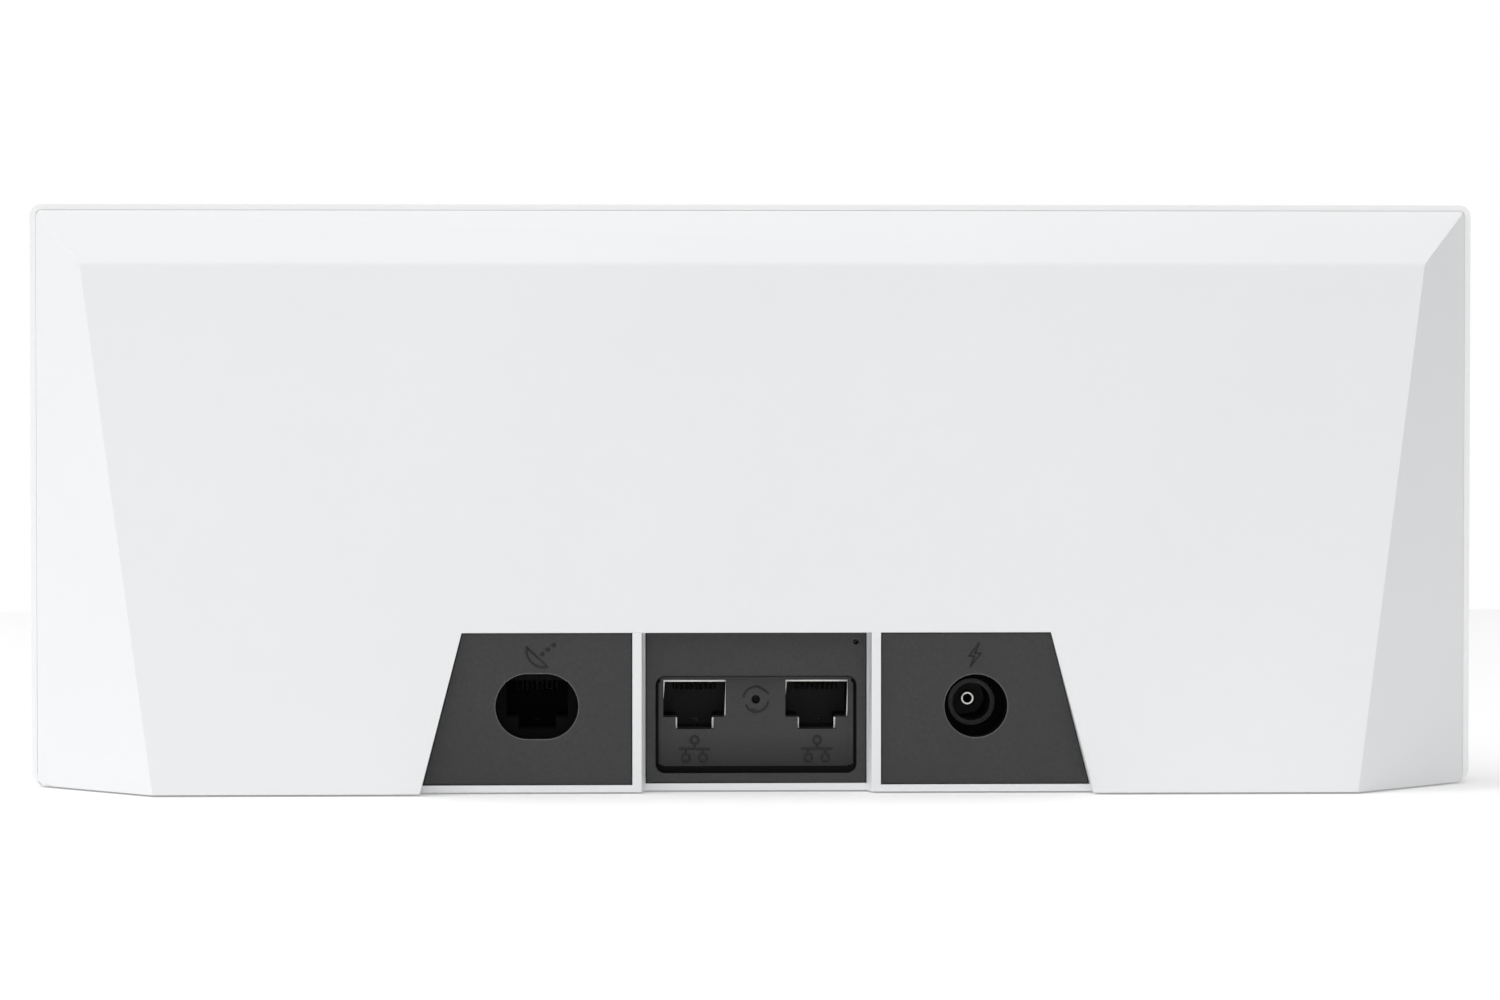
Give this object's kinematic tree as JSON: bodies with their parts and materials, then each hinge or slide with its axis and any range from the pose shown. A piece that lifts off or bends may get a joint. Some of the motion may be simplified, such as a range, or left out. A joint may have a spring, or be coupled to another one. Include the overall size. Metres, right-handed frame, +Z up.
{
  "type": "wireless router",
  "caption": "Slab-shaped wireless router on its lower edge, with a flat front, a faceted sloping back and a dark bay of network, dish and power sockets.",
  "frame": {"origin": "under the middle of the base, on the surface that the feet stand on", "axes": "+X along the width, +Z up, the sockets face -Y and the flat front faces +Y"},
  "size_m": [0.2986, 0.0434, 0.1204],
  "materials": {
    "cover_shell": "satin",
    "housing_shell": "satin",
    "port_panel": "fine texture",
    "seal_rubber": "matt",
    "foot_rubber": "matt",
    "membrane": "matt",
    "circuit_board": "satin",
    "antenna_board": "satin",
    "heat_sink": "satin",
    "thermal_pad": "matt",
    "chip_lid": "satin",
    "chip_black": "satin",
    "tinned_steel": "satin",
    "ferrite": "matt",
    "capacitor_can": "satin",
    "jack_plastic": "satin",
    "plated_metal": "bright",
    "gold_plate": "bright",
    "button_plastic": "satin",
    "lead_jacket": "satin",
    "led_body": "gloss",
    "light_pipe": "gloss",
    "screw_steel": "satin"
  },
  "bodies": {
    "router_body": {"front_cover": "cover_shell", "rear_housing": "housing_shell", "port_frame": "housing_shell", "cover_seal": "seal_rubber", "dish_port_panel": "port_panel", "ethernet_port_panel": "port_panel", "power_port_panel": "port_panel", "jack_gaskets": "seal_rubber", "power_jack_gasket": "seal_rubber", "vent_membrane": "membrane", "main_board": "circuit_board", "heat_sink": "heat_sink", "thermal_pads": "thermal_pad", "processor_chip": "chip_lid", "memory_chips": "chip_black", "radio_chips": "chip_black", "switch_chip": "chip_black", "radio_shields": "tinned_steel", "network_transformers": "chip_black", "power_inductors": "ferrite", "capacitors": "capacitor_can", "ethernet_jack_left_shield": "plated_metal", "ethernet_jack_left_body": "jack_plastic", "ethernet_jack_left_contacts": "gold_plate", "ethernet_jack_right_shield": "plated_metal", "ethernet_jack_right_body": "jack_plastic", "ethernet_jack_right_contacts": "gold_plate", "dish_jack_shield": "plated_metal", "dish_jack_body": "jack_plastic", "dish_jack_contacts": "gold_plate", "power_jack_body": "jack_plastic", "power_jack_pin": "plated_metal", "power_jack_spring": "plated_metal", "reset_switch_body": "jack_plastic", "antenna_left_upper": "antenna_board", "antenna_left_lower": "antenna_board", "antenna_right_upper": "antenna_board", "antenna_right_lower": "antenna_board", "antenna_leads": "lead_jacket", "antenna_plugs": "gold_plate", "status_led": "led_body", "light_pipe": "light_pipe", "heat_sink_screws": "screw_steel", "board_screws": "screw_steel", "rubber_feet": "foot_rubber"},
    "reset_button": {"reset_plunger": "button_plastic", "reset_switch_stem": "button_plastic"}
  },
  "joints": [
    {"name": "reset_press", "type": "slide", "parent": "router_body", "child": "reset_button", "axis": [0, 1, 0], "range_m": [0, 0.0004], "stiffness_N_per_m": 2000, "springref_m": -0.0005}
  ]
}
